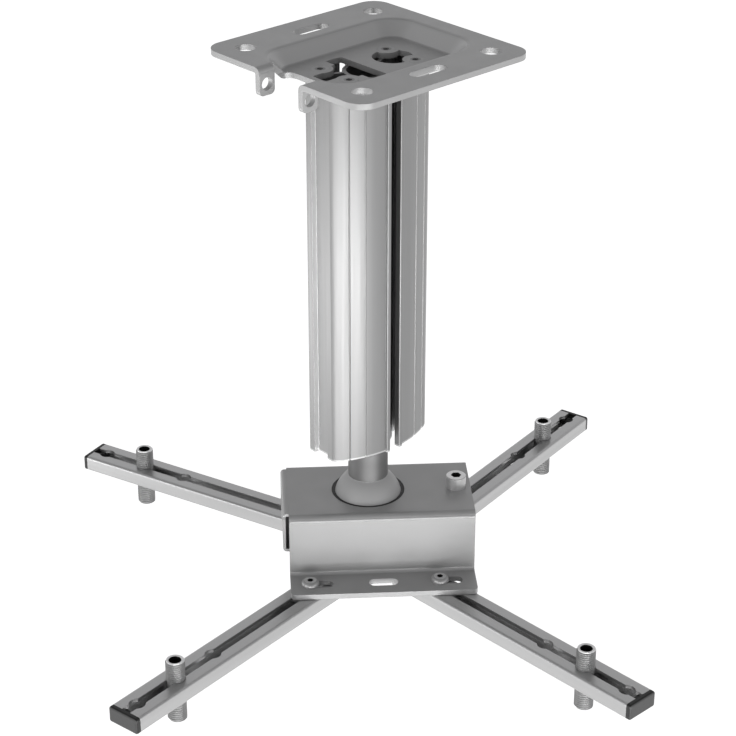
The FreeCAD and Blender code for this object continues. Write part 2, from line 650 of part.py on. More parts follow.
def clamp_plate():
    """Upper lip against the end of the head's top sheet, upright at the left and leg under the ball."""
    inside = CLAMP_LEFT + CLAMP_SHEET
    bend_out = CLAMP_BEND_R + CLAMP_SHEET
    lip_under = HEAD_TOP - CLAMP_SHEET
    section = [(HEAD_LEFT, HEAD_TOP, 0), (CLAMP_LEFT, HEAD_TOP, bend_out),
               (CLAMP_LEFT, CLAMP_LEG_UNDER, bend_out), (CLAMP_RIGHT, CLAMP_LEG_UNDER, 0),
               (CLAMP_RIGHT, CLAMP_LEG_TOP, 0), (inside, CLAMP_LEG_TOP, CLAMP_BEND_R),
               (inside, lip_under, CLAMP_BEND_R), (HEAD_LEFT, lip_under, 0)]
    plate = prism(outline(section, front(-CLAMP_HALF_WIDTH)), vec(0, 2 * CLAMP_HALF_WIDTH, 0))
    cuts = [rod(CLAMP_HOLE_R, CLAMP_LEG_UNDER - OVERCUT, CLAMP_LEG_TOP + OVERCUT)]
    for x in (CLAMP_STUD_X, CLAMP_SCREW_X):
        cuts.append(rod(M6_HOLE_R, CLAMP_LEG_UNDER - OVERCUT, CLAMP_LEG_TOP + OVERCUT, x, 0))
    return in_head(one(plate.cut(cuts)))


def clamp_screw():
    """Socket cap screw through the head's top sheet, the clamp plate and its nut."""
    end = CLAMP_LEG_UNDER - M6_NUT_HEIGHT - CLAMP_SCREW_PAST_NUT
    top = HEAD_TOP + CAP_HEAD_HEIGHT
    shank = rod(M6_SHANK_R, end, HEAD_TOP, CLAMP_SCREW_X, 0)
    head = turned([(0, HEAD_TOP, 0), (CAP_HEAD_R, HEAD_TOP, 0), (CAP_HEAD_R, top - CAP_HEAD_CHAMFER, 0),
                   (CAP_HEAD_R - CAP_HEAD_CHAMFER, top, 0), (0, top, 0)])
    head.translate(vec(CLAMP_SCREW_X, 0, 0))
    socket = hexagon(CAP_HEX_AF, top - CAP_HEX_DEPTH, top + OVERCUT, CLAMP_SCREW_X, 0)
    return in_head(one(shank.fuse(head).cut(socket)))


def clamp_stud():
    """Threaded stud welded under the head's top sheet, through the clamp plate's left end."""
    end = CLAMP_LEG_UNDER - M6_NUT_HEIGHT - CLAMP_SCREW_PAST_NUT
    return in_head(rod(M6_SHANK_R, end, HEAD_UNDER, CLAMP_STUD_X, 0))


def clamp_nut(x):
    under = CLAMP_LEG_UNDER - M6_NUT_HEIGHT
    nut = hexagon(M6_NUT_AF, under, CLAMP_LEG_UNDER, x, 0)
    bore = rod(M6_SHANK_R + THREAD_GAP, under - OVERCUT, CLAMP_LEG_UNDER + OVERCUT, x, 0)
    return in_head(one(nut.cut(bore)))


# Arms and what they carry

def pivot_place(arm):
    """Centre of an arm's pivot screw in the head's axes."""
    name, slot, sy, end, angle, reach = arm
    travel = (FLANGE_SLOT_LENGTH - FLANGE_SLOT_WIDTH) / 2
    return (HEAD_MIDDLE_X + slot * FLANGE_SLOT_PITCH + end * travel, sy * FLANGE_SLOT_Y)


def at_arm(shape, arm):
    """Moves a shape drawn along +X from the pivot to an arm's own place."""
    x, y = pivot_place(arm)
    moved = shape.copy()
    moved.rotate(vec(0, 0, 0), vec(0, 0, 1), arm[4])
    moved.translate(vec(x, y, 0))
    return in_head(moved)


def pivot_screws():
    """Four button-head screws, heads on the flanges, ends inside the arms."""
    top = FLANGE_TOP + PIVOT_HEAD_HEIGHT
    head = turned([(0, FLANGE_TOP, 0), (PIVOT_HEAD_R, FLANGE_TOP, 0),
                   (PIVOT_HEAD_R, top, PIVOT_HEAD_EDGE_R), (0, top, 0)])
    socket = hexagon(PIVOT_HEAD_HEX_AF, top - PIVOT_HEAD_HEX_DEPTH, top + OVERCUT)
    screw = one(head.fuse(rod(PIVOT_SHANK_R, FLANGE_TOP - PIVOT_LENGTH, FLANGE_TOP)).cut(socket))
    return Part.makeCompound([at_arm(screw, arm) for arm in ARMS])


def pivot_nut(arm):
    """Long nut under the arm's top wall, held by its screw and guiding the arm."""
    half_length = PIVOT_NUT_LENGTH / 2
    half_width = ARM_WIDTH / 2 - ARM_WALL - PIVOT_NUT_GAP
    top = ARM_INSIDE_TOP - PIVOT_NUT_GAP
    bottom = top - PIVOT_NUT_HEIGHT
    nut = box(-half_length, half_length, -half_width, half_width, bottom, top)
    bore = rod(PIVOT_SHANK_R + PIVOT_NUT_BORE_GAP, bottom - OVERCUT, top + OVERCUT)
    return at_arm(nut.cut(bore), arm)


def stud_place(arm):
    """Distance from the pivot to the stud's hole, the middle one of three."""
    return arm[5] - ARM_HOLE_FROM_END - ARM_HOLE_PITCH


def arm_rail(arm):
    """Rail of box section with a slot along its top and three stud holes through it."""
    rail_end = arm[5] - CAP_THICKNESS
    half_height = ARM_HEIGHT / 2
    half_width = ARM_WIDTH / 2
    middle_z = ARM_TOP - half_height
    rail_start = arm[5] - ARM_LENGTH
    length = rail_end - rail_start
    outer = prism(outline(rectangle(half_width, half_height, ARM_EDGE_R), side(0)), vec(length, 0, 0))
    inner = box(-OVERCUT, length + OVERCUT, ARM_WALL - half_width, half_width - ARM_WALL,
                ARM_WALL - half_height, half_height - ARM_WALL)
    rail = outer.cut(inner)
    rail.translate(vec(rail_start, 0, middle_z))
    cuts = [box(rail_start - OVERCUT, rail_end + OVERCUT, -ARM_SLOT_WIDTH / 2, ARM_SLOT_WIDTH / 2,
                middle_z, ARM_TOP + OVERCUT)]
    middle = stud_place(arm)
    for step, radius in ((-1, ARM_HOLE_R), (0, STUD_HOLE_R), (1, ARM_HOLE_R)):
        cuts.append(rod(radius, ARM_UNDER - OVERCUT, ARM_TOP + OVERCUT, middle + step * ARM_HOLE_PITCH, 0))
    return at_arm(one(rail.cut(cuts)), arm)


def arm_cap(arm):
    """Plastic end cap, its outer face rounded all round, with a plug inside the rail."""
    half_height = ARM_HEIGHT / 2
    section = outline(rectangle(ARM_WIDTH / 2, half_height, ARM_EDGE_R), side(0))
    cover = prism(section, vec(CAP_THICKNESS, 0, 0))
    rim = [edge for edge in cover.Edges if edge.BoundBox.XMin > CAP_THICKNESS / 2]
    cover = cover.makeFillet(CAP_FACE_R, rim)
    plug_half_y = ARM_WIDTH / 2 - ARM_WALL - CAP_PLUG_GAP
    plug_half_z = half_height - ARM_WALL - CAP_PLUG_GAP
    plug = box(-CAP_PLUG_LENGTH, OVERCUT, -plug_half_y, plug_half_y, -plug_half_z, plug_half_z)
    cap = cover.fuse(plug)
    cap.translate(vec(arm[5] - CAP_THICKNESS, 0, ARM_TOP - half_height))
    return at_arm(one(cap), arm)


def stud(arm):
    """Hollow threaded stand-off, plain here at its thread's outer diameter."""
    top = ARM_TOP + STUD_ABOVE_ARM
    bottom = top - STUD_LENGTH
    rim = STUD_R - STUD_CHAMFER
    body = turned([(STUD_BORE_R, bottom, 0), (rim, bottom, 0), (STUD_R, bottom + STUD_CHAMFER, 0),
                   (STUD_R, top - STUD_CHAMFER, 0), (rim, top, 0), (STUD_BORE_R, top, 0)])
    body.translate(vec(stud_place(arm), 0, 0))
    return at_arm(body, arm)


def build():
    nodes = {
        "ceiling_plate": ceiling_plate(),
        "column_screws": column_screws(),
        "column_profile": column_profile(),
        "stem_set_screws": stem_set_screws(),
        "ball_stem": ball_stem(),
        "upper_ball_liner": upper_ball_liner(),
        "lower_ball_liner": lower_ball_liner(),
        "head_bracket": head_bracket(),
        "clamp_plate": clamp_plate(),
        "clamp_screw": clamp_screw(),
        "clamp_screw_nut": clamp_nut(CLAMP_SCREW_X),
        "clamp_stud": clamp_stud(),
        "clamp_stud_nut": clamp_nut(CLAMP_STUD_X),
        "pivot_screws": pivot_screws(),
    }
    for arm in ARMS:
        nodes["pivot_nut_" + arm[0]] = pivot_nut(arm)
        nodes["arm_" + arm[0]] = arm_rail(arm)
        nodes["arm_cap_" + arm[0]] = arm_cap(arm)
        nodes["stud_" + arm[0]] = stud(arm)
    return nodes


os.makedirs("parts", exist_ok=True)
for name, shape in build().items():
    shape.exportStep("parts/" + name + ".step")
    extent = shape.BoundBox
    size = [round(value, 2) for value in (extent.XLength, extent.YLength, extent.ZLength)]
    print(name, len(shape.Solids), shape.isValid(), round(shape.Volume), size)
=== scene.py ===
import math
import bmesh
import bpy
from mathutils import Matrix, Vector


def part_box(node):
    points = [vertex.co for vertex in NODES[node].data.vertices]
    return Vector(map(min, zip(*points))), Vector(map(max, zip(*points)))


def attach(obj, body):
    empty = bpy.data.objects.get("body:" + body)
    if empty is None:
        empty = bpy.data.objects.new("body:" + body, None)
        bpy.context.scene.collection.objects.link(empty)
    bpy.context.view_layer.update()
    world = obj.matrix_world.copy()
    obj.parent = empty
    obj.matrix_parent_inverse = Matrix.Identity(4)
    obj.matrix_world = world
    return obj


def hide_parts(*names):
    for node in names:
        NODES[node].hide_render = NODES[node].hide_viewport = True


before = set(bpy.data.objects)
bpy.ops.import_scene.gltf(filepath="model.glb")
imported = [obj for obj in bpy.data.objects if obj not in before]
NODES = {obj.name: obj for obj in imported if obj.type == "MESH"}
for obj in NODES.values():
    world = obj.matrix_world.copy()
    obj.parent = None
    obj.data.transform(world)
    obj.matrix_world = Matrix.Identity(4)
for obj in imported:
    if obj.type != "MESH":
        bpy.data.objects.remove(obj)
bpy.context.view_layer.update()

MM = 0.001
ALONG_X = (1, 0, 0)
ALONG_Y = (0, 1, 0)
UP = (0, 0, 1)
NOISE_LOW = 0.3
NOISE_HIGH = 0.7

# Camera, solved from the photograph. Its half width and focal length are in the photograph's pixels.
CAMERA_PLACE = (-0.6984, -0.7631, 0.3529)
CAMERA_TARGET = (0.0, 0.0, -0.175)
CAMERA_CLIP_END = 50.0
PICTURE_HALF_WIDTH = 368.0
FOCAL_LENGTH = 2212.4

# Studio floor
FLOOR_Z = -0.56
FLOOR_HALF = 9.0
FLOOR_GLOW = 0.70

# Two large softboxes at the sides of the camera
SOFTBOX_TARGET = (0.0, 0.0, -0.15)
SOFTBOX_ELEVATION = 10.0
SOFTBOX_DISTANCE = 2.4
SOFTBOX_WIDTH = 1.4
SOFTBOX_HEIGHT = 1.0

# Low strips that only reflections show. They start above what the head's front reflects.
STRIP_DISTANCE = 0.60
STRIP_TOP = -0.29
STRIP_FOOT = -0.475

# Room light, and the heights of a unit direction between which it fades
SKY_COLOUR = (1.0, 1.0, 1.01, 1)
HORIZON_LIGHT = 0.64
CEILING_LIGHT = 0.28
FADE_START = 0.35
FADE_END = 0.9

# Where painted highlight and painted shade go on the coat of the ceiling plate and the head
DISH_HALF_X = 47.0 * MM
DISH_HALF_Y = 33.0 * MM
DISH_DEPTH = 7.5 * MM
DISH_WALL_REACH = 3.2 * MM
DISH_FLOOR_REACH = 0.3 * MM
HEAD_SKIN = 3.6 * MM
HEAD_BEND_DROP = 2.75 * MM
HEAD_BEND_REACH = 0.85 * MM

# Painted highlight along the column's lower edge, and on the walls of its side grooves
EDGE_HIGHLIGHT_HEIGHT = 0.9 * MM
GROOVE_WALL_Y = 5.0 * MM
GROOVE_WALL_SKIN = 0.1 * MM
GROOVE_MIDDLE_X = 31.7 * MM
GROOVE_HALF_DEPTH = 1.45 * MM

# Ball at the foot of the stem
BALL_HEIGHT = 32.5 * MM
STEM_METALLIC = 0.6
BALL_METALLIC = 0.1

# Screw heads and the sockets in them, which get painted shade, and the top faces, which get a painted
# highlight
FLOOR_SCREW_HEAD_R = 4.6 * MM
FLOOR_SCREW_CENTRE_R = 2.7 * MM
CLAMP_SOCKET_R = 2.95 * MM
CLAMP_SOCKET_DEPTH = 3.1 * MM
PIVOT_SOCKET_R = 1.8 * MM
PIVOT_SOCKET_DEPTH = 1.6 * MM
SOCKET_MARGIN = 0.05 * MM
CROWN_SKIN = 0.1 * MM

# Azimuth of each arm at rest in degrees, and where painted light goes on the rails and their caps
ARM_AZIMUTHS = {"front_left": 188.75, "front_right": -89.15, "rear_left": 106.55, "rear_right": 12.05}
RAIL_SIDE = 0.6 * MM
RAIL_SKIN = 1.8 * MM
RAIL_SLOT_REACH = 4.3 * MM
RAIL_SLOT_MARGIN = 0.1 * MM
CAP_FLAT = 0.4 * MM

# Studs. Each pair of the thread's form is a share of its pitch and a share of its depth.
STUD_R = 5.0 * MM
STUD_BORE_R = 3.2 * MM
STUD_BORE_LEAD = 0.25 * MM
# Height of the painted highlight at each end of a stud
STUD_END_HIGHLIGHT = 0.5 * MM
THREAD_PITCH = 1.25 * MM
THREAD_DEPTH = 0.6 * MM
THREAD_FORM = ((0.0, 1.0), (0.24, 1.0), (0.55, 0.0), (0.70, 0.0))
RING_STEPS = 40
MERGE_DISTANCE = 1e-7


# Node helpers

def material(name):
    """New node material. Returns it with its node tree, Principled shader and object coordinates."""
    mat = bpy.data.materials.new(name)
    mat.use_nodes = True
    tree = mat.node_tree
    shader = next(node for node in tree.nodes if node.type == "BSDF_PRINCIPLED")
    coords = tree.nodes.new("ShaderNodeTexCoord").outputs["Object"]
    return mat, tree, shader, coords


def grey(value):
    return (value, value, value, 1)


def stretched(tree, coords, scale, turn):
    """Coordinates turned back about Z by an angle, then scaled along each axis."""
    turned = tree.nodes.new("ShaderNodeMapping")
    turned.inputs["Rotation"].default_value = (0, 0, -turn)
    tree.links.new(coords, turned.inputs["Vector"])
    scaled = tree.nodes.new("ShaderNodeMapping")
    scaled.inputs["Scale"].default_value = scale
    tree.links.new(turned.outputs["Vector"], scaled.inputs["Vector"])
    return scaled.outputs["Vector"]


def noise(tree, coords, scale, detail=3.0, roughness=0.5):
    node = tree.nodes.new("ShaderNodeTexNoise")
    node.inputs["Scale"].default_value = scale
    node.inputs["Detail"].default_value = detail
    node.inputs["Roughness"].default_value = roughness
    tree.links.new(coords, node.inputs["Vector"])
    return node.outputs["Fac"]


def spread(tree, pattern, low, high):
    """Maps a noise pattern's usual values onto a range."""
    node = tree.nodes.new("ShaderNodeMapRange")
    node.inputs["From Min"].default_value = NOISE_LOW
    node.inputs["From Max"].default_value = NOISE_HIGH
    node.inputs["To Min"].default_value = low
    node.inputs["To Max"].default_value = high
    tree.links.new(pattern, node.inputs["Value"])
    return node.outputs["Result"]


def toned(tree, shader, pattern, dark, light):
    """Gives the base colour two greys, chosen by a noise pattern."""
    node = tree.nodes.new("ShaderNodeMix")
    node.data_type = "RGBA"
    node.inputs["A"].default_value = grey(dark)
    node.inputs["B"].default_value = grey(light)
    tree.links.new(spread(tree, pattern, 0.0, 1.0), node.inputs["Factor"])
    tree.links.new(node.outputs["Result"], shader.inputs["Base Color"])


def roughened(tree, shader, pattern, smooth, rough):
    """Lets the roughness vary between two values with a noise pattern."""
    tree.links.new(spread(tree, pattern, smooth, rough), shader.inputs["Roughness"])


def relief(tree, shader, pattern, depth, edge):
    """Bump of a depth in metres over edges rounded by a radius in metres."""
    bevel = tree.nodes.new("ShaderNodeBevel")
    bevel.samples = 4
    bevel.inputs["Radius"].default_value = edge
    bump = tree.nodes.new("ShaderNodeBump")
    bump.inputs["Strength"].default_value = 1.0
    bump.inputs["Distance"].default_value = depth
    tree.links.new(pattern, bump.inputs["Height"])
    tree.links.new(bevel.outputs["Normal"], bump.inputs["Normal"])
    tree.links.new(bump.outputs["Normal"], shader.inputs["Normal"])


# Masks, which are one where they hold and zero elsewhere

def along(tree, coords, direction):
    """Distance along a direction."""
    node = tree.nodes.new("ShaderNodeVectorMath")
    node.operation = "DOT_PRODUCT"
    tree.links.new(coords, node.inputs[0])
    node.inputs[1].default_value = direction
    return node.outputs["Value"]


def aside(tree, coords, direction):
    """Distance along a direction, counted the same to both sides."""
    node = tree.nodes.new("ShaderNodeMath")
    node.operation = "ABSOLUTE"
    tree.links.new(along(tree, coords, direction), node.inputs[0])
    return node.outputs["Value"]


def near(tree, value, middle, reach):
    """Mask of what lies within a reach of a middle."""
    node = tree.nodes.new("ShaderNodeMath")
    node.operation = "COMPARE"
    tree.links.new(value, node.inputs[0])
    node.inputs[1].default_value = middle
    node.inputs[2].default_value = reach
    return node.outputs["Value"]


def between(tree, value, low, high):
    """Mask of what lies between two limits."""
    return near(tree, value, (low + high) / 2, (high - low) / 2)


def joined(tree, operation, masks):
    """Masks put together one after another with a math operation."""
    result = masks[0]
    for mask in masks[1:]:
        node = tree.nodes.new("ShaderNodeMath")
        node.operation = operation
        tree.links.new(result, node.inputs[0])
        tree.links.new(mask, node.inputs[1])
        result = node.outputs["Value"]
    return result


def all_of(tree, *masks):
    return joined(tree, "MULTIPLY", masks)


def any_of(tree, *masks):
    return joined(tree, "MAXIMUM", masks)


def round_about(tree, coords, places, radius):
    """Mask of what lies within a radius of any of several upright axes."""
    flat = tree.nodes.new("ShaderNodeVectorMath")
    flat.operation = "MULTIPLY"
    flat.inputs[1].default_value = (1, 1, 0)
    tree.links.new(coords, flat.inputs[0])
    masks = []
    for place in places:
        node = tree.nodes.new("ShaderNodeVectorMath")
        node.operation = "DISTANCE"
        tree.links.new(flat.outputs["Vector"], node.inputs[0])
        node.inputs[1].default_value = (place[0], place[1], 0)
        masks.append(near(tree, node.outputs["Value"], 0.0, radius))
    return any_of(tree, *masks)


def touched_up(tree, shader, mask, tone):
    """Puts another grey on the base colour where a mask is one."""
    base = shader.inputs["Base Color"]
    node = tree.nodes.new("ShaderNodeMix")
    node.data_type = "RGBA"
    tree.links.new(base.links[0].from_socket, node.inputs["A"])
    node.inputs["B"].default_value = grey(tone)
    tree.links.new(mask, node.inputs["Factor"])
    tree.links.new(node.outputs["Result"], base)


# Kinds of surface. Tones and gloss are each a pair of ends that a noise pattern moves between.

def coated(name, tones, gloss, metallic, edge):
    """Powder coat: faint clouding, uneven gloss and a fine orange peel."""
    mat, tree, shader, coords = material(name)
    shader.inputs["Metallic"].default_value = metallic
    toned(tree, shader, noise(tree, coords, scale=60.0, detail=5.0), *tones)
    roughened(tree, shader, noise(tree, coords, scale=240.0, detail=4.0), *gloss)
    relief(tree, shader, noise(tree, coords, scale=1500.0, roughness=0.6), 0.012 * MM, edge)
    return mat, tree, shader, coords


def drawn(name, tones, gloss, metallic, stretch, turn, edge):
    """Extruded, drawn or turned metal: faint streaks along the axes that the stretch makes small."""
    mat, tree, shader, coords = material(name)
    shader.inputs["Metallic"].default_value = metallic
    lines = stretched(tree, coords, stretch, turn)
    streaks = noise(tree, lines, scale=900.0, detail=4.0, roughness=0.6)
    toned(tree, shader, noise(tree, lines, scale=160.0, detail=2.0), *tones)
    roughened(tree, shader, streaks, *gloss)
    relief(tree, shader, streaks, 0.004 * MM, edge)
    return mat, tree, shader, coords


def plated(name, tones, gloss, metallic):
    """Zinc plating: almost even, with faint mottling."""
    mat, tree, shader, coords = material(name)
    shader.inputs["Metallic"].default_value = metallic
    toned(tree, shader, noise(tree, coords, scale=400.0, detail=4.0), *tones)
    roughened(tree, shader, noise(tree, coords, scale=1200.0), *gloss)
    relief(tree, shader, noise(tree, coords, scale=2500.0, detail=2.0), 0.003 * MM, edge=0.15 * MM)
    return mat, tree, shader, coords


def moulded(name, tones, gloss, grain):
    """Moulded plastic with a fine spark-eroded grain."""
    mat, tree, shader, coords = material(name)
    shader.inputs["Specular IOR Level"].default_value = 0.55
    toned(tree, shader, noise(tree, coords, scale=120.0, detail=4.0), *tones)
    roughened(tree, shader, noise(tree, coords, scale=900.0), *gloss)
    relief(tree, shader, noise(tree, coords, scale=2800.0, detail=4.0, roughness=0.7), grain, edge=0.3 * MM)
    return mat, tree, shader, coords


# Finishes of the solids

def coat_with_painted_light():
    """Powder coat with painted light: a painted highlight on the dish's walls, painted shade on its floor
    and on the head's walls and bends.
    """
    mat, tree, shader, coords = coated("silver_grey_coat", tones=(0.385, 0.425), gloss=(0.34, 0.40),
                                       metallic=0.50, edge=0.4 * MM)
    height = along(tree, coords, UP)
    in_dish = all_of(tree, near(tree, along(tree, coords, ALONG_X), 0.0, DISH_HALF_X),
                     near(tree, along(tree, coords, ALONG_Y), 0.0, DISH_HALF_Y))
    painted_highlight_wall = near(tree, height, -DISH_DEPTH / 2, DISH_WALL_REACH)
    # Painted highlight on the dish's walls
    touched_up(tree, shader, all_of(tree, in_dish, painted_highlight_wall), tone=0.48)
    painted_shade_floor = near(tree, height, -DISH_DEPTH, DISH_FLOOR_REACH)
    # Painted shade on the dish's floor
    touched_up(tree, shader, all_of(tree, in_dish, painted_shade_floor), tone=0.35)
    low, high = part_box("head_bracket")
    upright = between(tree, height, low[2] + HEAD_SKIN, high[2] - HEAD_SKIN)
    # Painted shade on the head's walls
    touched_up(tree, shader, upright, tone=0.35)
    painted_shade_bend = near(tree, height, high[2] - HEAD_BEND_DROP, HEAD_BEND_REACH)
    # Painted shade on the head's top bend, which dulls the highlight there
    touched_up(tree, shader, painted_shade_bend, tone=0.25)
    return mat


def column_with_painted_light():
    """Anodised extrusion with a painted highlight along its lower edge and on the walls of its side
    grooves.
    """
    mat, tree, shader, coords = drawn("anodised_extrusion", tones=(0.235, 0.26), gloss=(0.30, 0.40),
                                      metallic=0.7, stretch=(1.0, 1.0, 0.012), turn=0.0, edge=0.25 * MM)
    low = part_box("column_profile")[0][2]
    painted_highlight_edge = near(tree, along(tree, coords, UP), low, EDGE_HIGHLIGHT_HEIGHT)
    painted_highlight_wall = all_of(tree, near(tree, aside(tree, coords, ALONG_Y), GROOVE_WALL_Y, GROOVE_WALL_SKIN),
                  near(tree, aside(tree, coords, ALONG_X), GROOVE_MIDDLE_X, GROOVE_HALF_DEPTH))
    # Painted highlight along the column's lower edge
    touched_up(tree, shader, painted_highlight_edge, tone=0.50)
    # Painted highlight on the walls of the side grooves
    touched_up(tree, shader, painted_highlight_wall, tone=0.85)
    return mat


def stem_and_ball():
    """Turned stem. Its ball is left matt and lighter."""
    mat, tree, shader, coords = drawn("turned_stem", tones=(0.165, 0.19), gloss=(0.45, 0.52),
                                      metallic=STEM_METALLIC, stretch=(0.05, 0.05, 1.0), turn=0.0,
                                      edge=0.3 * MM)
    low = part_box("ball_stem")[0][2]
    ball = near(tree, along(tree, coords, UP), low, BALL_HEIGHT)
    touched_up(tree, shader, ball, tone=0.40)
    metallic = tree.nodes.new("ShaderNodeMapRange")
    metallic.inputs["To Min"].default_value = STEM_METALLIC
    metallic.inputs["To Max"].default_value = BALL_METALLIC
    tree.links.new(ball, metallic.inputs["Value"])
    tree.links.new(metallic.outputs["Result"], shader.inputs["Metallic"])
    return mat


def centre(node):
    low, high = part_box(node)
    return [(a + b) / 2 for a, b in zip(low, high)]


def floor_screw_with_painted_shade():
    """Dull screws as grey as the plate, with painted shade about their sockets."""
    mat, tree, shader, coords = plated("dull_screw", tones=(0.36, 0.40), gloss=(0.36, 0.44), metallic=0.5)
    low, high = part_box("column_screws")
    places = [(x, y) for x in (low[0] + FLOOR_SCREW_HEAD_R, high[0] - FLOOR_SCREW_HEAD_R)
              for y in (low[1] + FLOOR_SCREW_HEAD_R, high[1] - FLOOR_SCREW_HEAD_R)]
    # Painted shade about the sockets
    touched_up(tree, shader, round_about(tree, coords, places, FLOOR_SCREW_CENTRE_R), tone=0.24)
    return mat


def screw_with_painted_light(name, tones, crown_highlight, places, radius, top, depth):
    """Zinc-plated screws: a painted highlight on their top faces, painted shade in their sockets."""
    mat, tree, shader, coords = plated(name, tones, gloss=(0.32, 0.40), metallic=0.5)
    height = along(tree, coords, UP)
    # Painted highlight on the top faces
    touched_up(tree, shader, near(tree, height, top, CROWN_SKIN), crown_highlight)
    painted_shade_socket = all_of(tree, round_about(tree, coords, places, radius),
                    between(tree, height, top - depth + SOCKET_MARGIN, top - SOCKET_MARGIN))
    # Painted shade in the sockets
    touched_up(tree, shader, painted_shade_socket, tone=0.03)
    return mat


def clamp_screw_with_painted_light():
    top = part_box("clamp_screw")[1][2]
    return screw_with_painted_light("clamp_screw_zinc", tones=(0.46, 0.52), crown_highlight=0.95, places=[centre("clamp_screw")],
                         radius=CLAMP_SOCKET_R, top=top, depth=CLAMP_SOCKET_DEPTH)


def pivot_screw_with_painted_light():
    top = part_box("pivot_screws")[1][2]
    return screw_with_painted_light("pivot_screw_zinc", tones=(0.34, 0.40), crown_highlight=0.60,
                         places=[centre("pivot_nut_" + place) for place in ARM_AZIMUTHS],
                         radius=PIVOT_SOCKET_R, top=top, depth=PIVOT_SOCKET_DEPTH)


def stud_with_painted_highlight():
    """Zinc-plated thread with a painted highlight at both ends."""
    mat, tree, shader, coords = plated("zinc_thread", tones=(0.30, 0.38), gloss=(0.28, 0.36), metallic=0.6)
    height = along(tree, coords, UP)
    low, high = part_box("stud_front_left")
    foot = near(tree, height, low[2], STUD_END_HIGHLIGHT)
    top = near(tree, height, high[2], STUD_END_HIGHLIGHT)
    # Painted highlight on both ends
    touched_up(tree, shader, any_of(tree, foot, top), tone=0.90)
    return mat


def span(node, direction):
    """Least and greatest distance of a node's points along a direction."""
    distances = [direction.dot(corner.co) for corner in NODES[node].data.vertices]
    return min(distances), max(distances)


def rail_with_painted_light(place):
    """Drawn rail with painted light: darkest on its outer sides, lighter on its top and slot edges,
    lightest inside.
    """
    azimuth = math.radians(ARM_AZIMUTHS[place])
    mat, tree, shader, coords = drawn("rail_" + place, tones=(0.44, 0.50), gloss=(0.30, 0.38), metallic=0.9,
                                      stretch=(0.02, 1.0, 1.0), turn=azimuth, edge=0.4 * MM)
    across = Vector((-math.sin(azimuth), math.cos(azimuth), 0))
    left, right = span("arm_" + place, across)
    low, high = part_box("arm_" + place)
    sideways = along(tree, coords, across)
    height = along(tree, coords, UP)
    # Painted light everywhere except on the outer sides
    touched_up(tree, shader, between(tree, sideways, left + RAIL_SIDE, right - RAIL_SIDE), tone=0.60)
    painted_light_inside = all_of(tree, between(tree, sideways, left + RAIL_SKIN, right - RAIL_SKIN),
                    between(tree, height, low[2] + RAIL_SKIN, high[2] - RAIL_SKIN))
    # More painted light inside the rail
    touched_up(tree, shader, painted_light_inside, tone=0.70)
    slot_foot = high[2] - RAIL_SKIN + RAIL_SLOT_MARGIN
    painted_light_slot_edge = all_of(tree, near(tree, sideways, (left + right) / 2, RAIL_SLOT_REACH),
                       between(tree, height, slot_foot, high[2] - RAIL_SLOT_MARGIN))
    # Painted light on the slot's edges
    touched_up(tree, shader, painted_light_slot_edge, tone=0.60)
    return mat


def cap_with_painted_highlight(place):
    """Black moulded cap with a painted highlight that makes its flat end a little greyer."""
    mat, tree, shader, coords = moulded("dark_grey_cap_" + place, tones=(0.002, 0.004), gloss=(0.32, 0.42),
                                        grain=0.01 * MM)
    azimuth = math.radians(ARM_AZIMUTHS[place])
    outward = Vector((math.cos(azimuth), math.sin(azimuth), 0))
    end = span("arm_cap_" + place, outward)[1]
    # Painted highlight on the flat end
    touched_up(tree, shader, near(tree, along(tree, coords, outward), end, CAP_FLAT), tone=0.048)
    return mat


def dress(finish, *names):
    """Gives CAD nodes one finish."""
    for name in names:
        materials = NODES[name].data.materials
        materials.clear()
        materials.append(finish)


zinc = plated("satin_zinc", tones=(0.60, 0.68), gloss=(0.30, 0.38), metallic=0.4)[0]
stud_zinc = stud_with_painted_highlight()
# Painted shade inside the studs' bores
shaded_bore = plated("painted_shade_bore", tones=(0.035, 0.06), gloss=(0.45, 0.6), metallic=1.0)[0]
liner_plastic = moulded("black_liner", tones=(0.012, 0.018), gloss=(0.40, 0.50), grain=0.008 * MM)[0]

dress(coat_with_painted_light(), "ceiling_plate", "head_bracket", "clamp_plate")
dress(column_with_painted_light(), "column_profile")
dress(stem_and_ball(), "ball_stem")
dress(liner_plastic, "upper_ball_liner", "lower_ball_liner")
dress(clamp_screw_with_painted_light(), "clamp_screw")
dress(pivot_screw_with_painted_light(), "pivot_screws")
dress(floor_screw_with_painted_shade(), "column_screws", "stem_set_screws")
dress(zinc, "clamp_screw_nut", "clamp_stud", "clamp_stud_nut")
for place in ARM_AZIMUTHS:
    dress(rail_with_painted_light(place), "arm_" + place)
    dress(cap_with_painted_highlight(place), "arm_cap_" + place)
    dress(zinc, "pivot_nut_" + place)


# Threaded studs

def ring_point(form, middle, radius, step, z):
    angle = 2 * math.pi * step / RING_STEPS
    return form.verts.new((middle.x + radius * math.cos(angle), middle.y + radius * math.sin(angle), z))


def thread(form, middle, low, high):
    """Helical thread on a stud. It runs out in the chamfers at both ends."""
    columns = []
    last = (math.ceil((high - low) / THREAD_PITCH) + 1) * RING_STEPS
    for k in range(-RING_STEPS, last):
        column = []
        for share, depth in THREAD_FORM:
            z = min(max(low + (k / RING_STEPS + share) * THREAD_PITCH, low), high)
            limit = STUD_R - max(0.0, THREAD_DEPTH - min(z - low, high - z))
            column.append(ring_point(form, middle, min(STUD_R - depth * THREAD_DEPTH, limit), k, z))
        columns.append(column)
    for k in range(len(columns) - RING_STEPS - 1):
        here = columns[k] + [columns[k + RING_STEPS][0]]
        beyond = columns[k + 1] + [columns[k + 1 + RING_STEPS][0]]
        for j in range(len(here) - 1):
            form.faces.new((here[j], beyond[j], beyond[j + 1], here[j + 1]))


